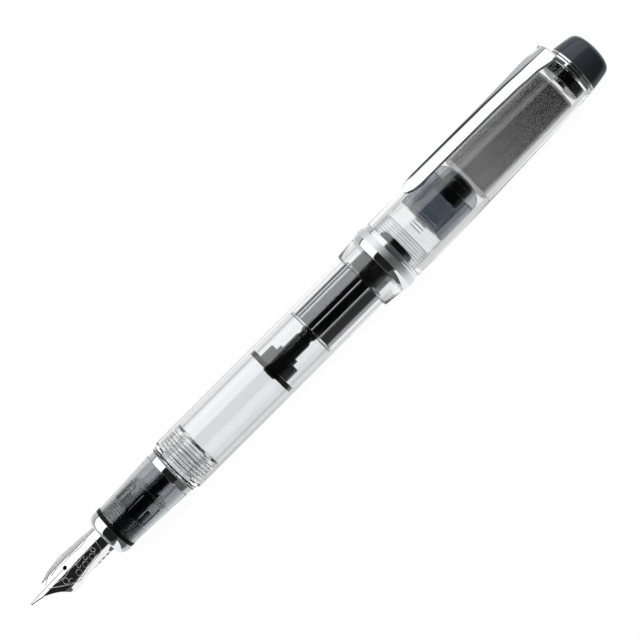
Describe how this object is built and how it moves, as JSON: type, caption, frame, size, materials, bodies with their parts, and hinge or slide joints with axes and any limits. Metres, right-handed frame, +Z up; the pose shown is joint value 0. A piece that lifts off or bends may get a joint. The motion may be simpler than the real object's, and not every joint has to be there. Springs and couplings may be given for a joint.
{
  "type": "fountain pen",
  "caption": "Slim clear fountain pen with a steel nib, smoke grip, twist converter inside the barrel and a clipped cap posted on the tail.",
  "frame": {"origin": "below the middle of the posted pen, on the surface that it lies on; the pen's axis is 6.4 mm above it", "axes": "+X along the pen from the nib towards the cap's finial, +Z up towards the clip, +Y across"},
  "size_m": [0.134, 0.0128, 0.0142],
  "materials": {
    "clear_plastic": "clear polished polymer",
    "smoke_plastic": "smoke tinted transparent polymer",
    "blue_grey_plastic": "blue-grey tinted transparent polymer",
    "navy_plastic": "glossy, very dark navy",
    "black_plastic": "smooth black",
    "seal_rubber": "matt black",
    "nib_steel": "mirror polished with fine engraving",
    "polished_chrome": "mirror polished",
    "sleeve_metal": "polished, dark"
  },
  "bodies": {
    "section": {"nib": "nib_steel", "feed": "black_plastic", "front_ring": "polished_chrome", "section_ring": "seal_rubber", "grip_shell": "smoke_plastic", "feed_housing": "blue_grey_plastic", "section_collar": "polished_chrome", "section_thread": "clear_plastic", "converter_reservoir": "clear_plastic", "converter_mouth": "clear_plastic", "guide_bush": "black_plastic", "converter_sleeve": "sleeve_metal"},
    "knob": {"converter_knob": "black_plastic", "drive_screw": "black_plastic"},
    "piston": {"piston_seal": "seal_rubber", "piston_holder": "black_plastic", "piston_rod": "black_plastic"},
    "barrel": {"barrel": "clear_plastic", "tail_sleeve": "blue_grey_plastic", "tail_plug": "blue_grey_plastic", "tail_core": "black_plastic"},
    "cap": {"cap_body": "clear_plastic", "cap_band": "polished_chrome", "inner_cap": "smoke_plastic", "cap_insert": "black_plastic", "clip_ring": "polished_chrome", "cap_gasket": "seal_rubber", "trim_ring": "polished_chrome", "finial": "navy_plastic", "finial_stud": "nib_steel"},
    "clip": {"clip": "polished_chrome"}
  },
  "joints": [
    {"name": "barrel_pull", "type": "slide", "parent": "section", "child": "barrel", "axis": [1, 0, 0], "range_m": [0, 0.062]},
    {"name": "cap_pull", "type": "slide", "parent": "barrel", "child": "cap", "axis": [1, 0, 0], "range_m": [0, 0.045]},
    {"name": "clip_flex", "type": "hinge", "parent": "cap", "child": "clip", "pos_m": [0.061, 0, 0.01185], "axis": [0, 1, 0], "range_deg": [0, 5], "stiffness_Nm_per_rad": 1.6},
    {"name": "knob_turn", "type": "hinge", "parent": "section", "child": "knob", "pos_m": [0.015, 0, 0.0064], "axis": [1, 0, 0], "range_deg": [0, 2310]},
    {"name": "piston_slide", "type": "slide", "parent": "section", "child": "piston", "axis": [-1, 0, 0], "range_m": [0, 0.016]}
  ],
  "couplings": [
    {"joint": "knob_turn", "follows": "piston_slide", "rad_per_m": 2513.3}
  ]
}
